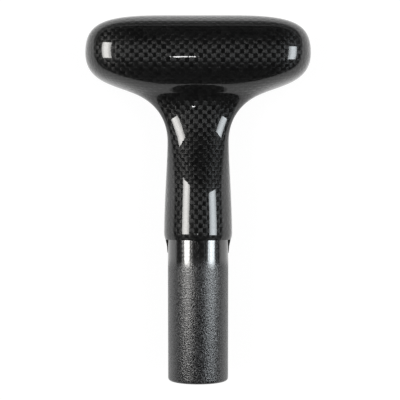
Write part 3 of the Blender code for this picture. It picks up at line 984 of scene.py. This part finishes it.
def make_floor():
    """A pale floor, white to look at, with a soft shadow. In gloss it is painted a little darker near the
    part, a painted shade, and ends past the bar and at the sides.
    """
    stage = bpy.context.scene.grip_stage
    finish = bpy.data.materials.new("pale_floor")
    finish.use_nodes = True
    tree = finish.node_tree
    tree.nodes.clear()
    lit = put(tree, "ShaderNodeBsdfDiffuse")
    lit.inputs["Color"].default_value = grey(FLOOR_GREY)
    faint = put(tree, "ShaderNodeBsdfDiffuse")
    faint.inputs["Color"].default_value = grey(FLOOR_FAINT)
    glow = put(tree, "ShaderNodeEmission")
    place = object_place(tree)
    gap = put(tree, "ShaderNodeVectorMath", operation="DISTANCE")
    feed(tree, gap.inputs[0], place)
    gap.inputs[1].default_value = FLOOR_MIDDLE
    apart = put(tree, "ShaderNodeSeparateXYZ")
    feed(tree, apart.inputs[0], place)
    # Painted shade: the floor's glow seen in gloss is dimmer near the part, in place of the part's shadow
    mirrored = ramp(tree, gap.outputs["Value"], *FLOOR_SHADE_RINGS, *FLOOR_SHADE_LEVELS)
    head = ramp(tree, apart.outputs[1], *FLOOR_HEAD, 1.0, FLOOR_BEYOND)
    mirrored = reckon(tree, "MULTIPLY", mirrored, head)
    beside = reckon(tree, "ABSOLUTE", apart.outputs[0])
    sides = ramp(tree, beside, *FLOOR_SIDES, 1.0, FLOOR_BEYOND)
    mirrored = reckon(tree, "MULTIPLY", mirrored, sides)
    camera_ray = put(tree, "ShaderNodeLightPath").outputs["Is Camera Ray"]
    feed(tree, glow.inputs["Strength"], blend_value(tree, camera_ray, mirrored, FLOOR_SEEN))
    both = put(tree, "ShaderNodeAddShader")
    feed(tree, both.inputs[0], faint.outputs[0])
    feed(tree, both.inputs[1], glow.outputs[0])
    pick = put(tree, "ShaderNodeMixShader")
    feed(tree, pick.inputs[0], seen_directly(tree))
    feed(tree, pick.inputs[1], lit.outputs[0])
    feed(tree, pick.inputs[2], both.outputs[0])
    feed(tree, put(tree, "ShaderNodeOutputMaterial").inputs[0], pick.outputs[0])
    mesh = bmesh.new()
    verts = bmesh.ops.create_grid(mesh, x_segments=1, y_segments=1, size=stage.floor_size / 2)["verts"]
    bmesh.ops.translate(mesh, vec=(0.0, 0.0, CAD_BOX[0][2] - FLOOR_GAP), verts=verts)
    new_object("floor", mesh, finish)


def make_world():
    """Soft light from all round; gloss sees a pale horizon under a dark ceiling."""
    world = bpy.data.worlds.new("studio")
    world.use_nodes = True
    tree = world.node_tree
    tree.nodes.clear()
    path = put(tree, "ShaderNodeLightPath").outputs
    direction = put(tree, "ShaderNodeTexCoord").outputs["Generated"]
    apart = put(tree, "ShaderNodeSeparateXYZ")
    feed(tree, apart.inputs[0], direction)
    near_side = ramp(tree, apart.outputs[1], *NEAR_SIDE, 0.0, NEAR_SIDE_LIFT)
    height = reckon(tree, "SUBTRACT", apart.outputs[2], near_side)
    gloss = ramp(tree, height, 0.0, HORIZON_TOP, HORIZON, CEILING)
    mirrored = reckon(tree, "MAXIMUM", path["Is Glossy Ray"], path["Is Transmission Ray"])
    strength = blend_value(tree, mirrored, SKY_SOFT, gloss)
    strength = blend_value(tree, path["Is Camera Ray"], strength, SKY_SEEN)
    sky = put(tree, "ShaderNodeBackground")
    sky.inputs["Color"].default_value = grey(1.0)
    feed(tree, sky.inputs["Strength"], strength)
    feed(tree, put(tree, "ShaderNodeOutputWorld").inputs[0], sky.outputs[0])
    bpy.context.scene.world = world


def make_lamps():
    """Two soft boxes and a small lamp for the gloss, and two broad lamps that light the colours."""
    stage = bpy.context.scene.grip_stage
    reach = stage.box_distance
    for name, lean, along, wide, tall, tint in SOFT_BOXES:
        angle = math.radians(lean)
        place = (reach * math.sin(angle), along, reach * math.cos(angle))
        power = radiant_power(stage.box_strength, (wide, tall))
        box = add_area(name, place, (0.0, along, 0.0), (wide, tall), power, diffuse=False)
        box.data.color = tint
        soften(box.data)
    power = radiant_power(STRIP_RADIANCE, STRIP_SIZE)
    add_area("strip", STRIP_PLACE, STRIP_AIM, STRIP_SIZE, power, diffuse=False)
    for name, side in (("left_lamp", -1), ("right_lamp", 1)):
        place = (side * LAMP_ASIDE, LAMP_ALONG, LAMP_HEIGHT)
        add_area(name, place, LAMP_AIM, LAMP_SIZE, LAMP_POWER, glossy=False)


def make_camera():
    """Straight above the part, with the bar at the top of the picture."""
    stage = bpy.context.scene.grip_stage
    data = bpy.data.cameras.new("camera")
    data.sensor_fit = "HORIZONTAL"
    data.lens = data.sensor_width * stage.camera_height / stage.view_width
    camera = bpy.data.objects.new("camera", data)
    camera.location = (stage.view_x, stage.view_y, stage.camera_height)
    bpy.context.scene.collection.objects.link(camera)
    bpy.context.scene.camera = camera


class TGRIP_OT_stage(bpy.types.Operator):
    """Makes the floor, the world, the lamps and the camera"""

    bl_idname = "tgrip.stage"
    bl_label = "Stage"

    def execute(self, context):
        make_floor()
        make_world()
        make_lamps()
        make_camera()
        context.scene.view_settings.view_transform = "Standard"
        return {"FINISHED"}


class TGRIP_PT_panel(bpy.types.Panel):
    """Lists the operators and their sizes"""

    bl_label = "T-grip"
    bl_idname = "TGRIP_PT_panel"
    bl_space_type = "VIEW_3D"
    bl_region_type = "UI"
    bl_category = "T-grip"

    def draw(self, context):
        for operator in OPERATORS:
            self.layout.operator(operator.bl_idname)
        for name in GROUPS:
            group = getattr(context.scene, name)
            column = self.layout.column()
            for field in group.bl_rna.properties:
                if field.identifier not in ("rna_type", "name"):
                    column.prop(group, field.identifier)


GROUPS = {
    "grip_shape": GripShape,
    "spigot_shape": SpigotShape,
    "grip_finish": Finish,
    "grip_stage": Stage,
}
OPERATORS = (
    TGRIP_OT_stage,
    TGRIP_OT_skins,
    TGRIP_OT_spigot,
    TGRIP_OT_plug,
    TGRIP_OT_beads,
    TGRIP_OT_inside,
)
CLASSES = (*GROUPS.values(), *OPERATORS, TGRIP_PT_panel)


def register():
    for cls in CLASSES:
        bpy.utils.register_class(cls)
    for name, group in GROUPS.items():
        setattr(bpy.types.Scene, name, PointerProperty(type=group))


def unregister():
    for name in GROUPS:
        delattr(bpy.types.Scene, name)
    for cls in reversed(CLASSES):
        bpy.utils.unregister_class(cls)


def main():
    register()
    bpy.ops.tgrip.stage()
    bpy.ops.tgrip.skins()
    bpy.ops.tgrip.spigot()
    bpy.ops.tgrip.plug()
    bpy.ops.tgrip.beads()
    bpy.ops.tgrip.inside()


if __name__ == "__main__":
    main()
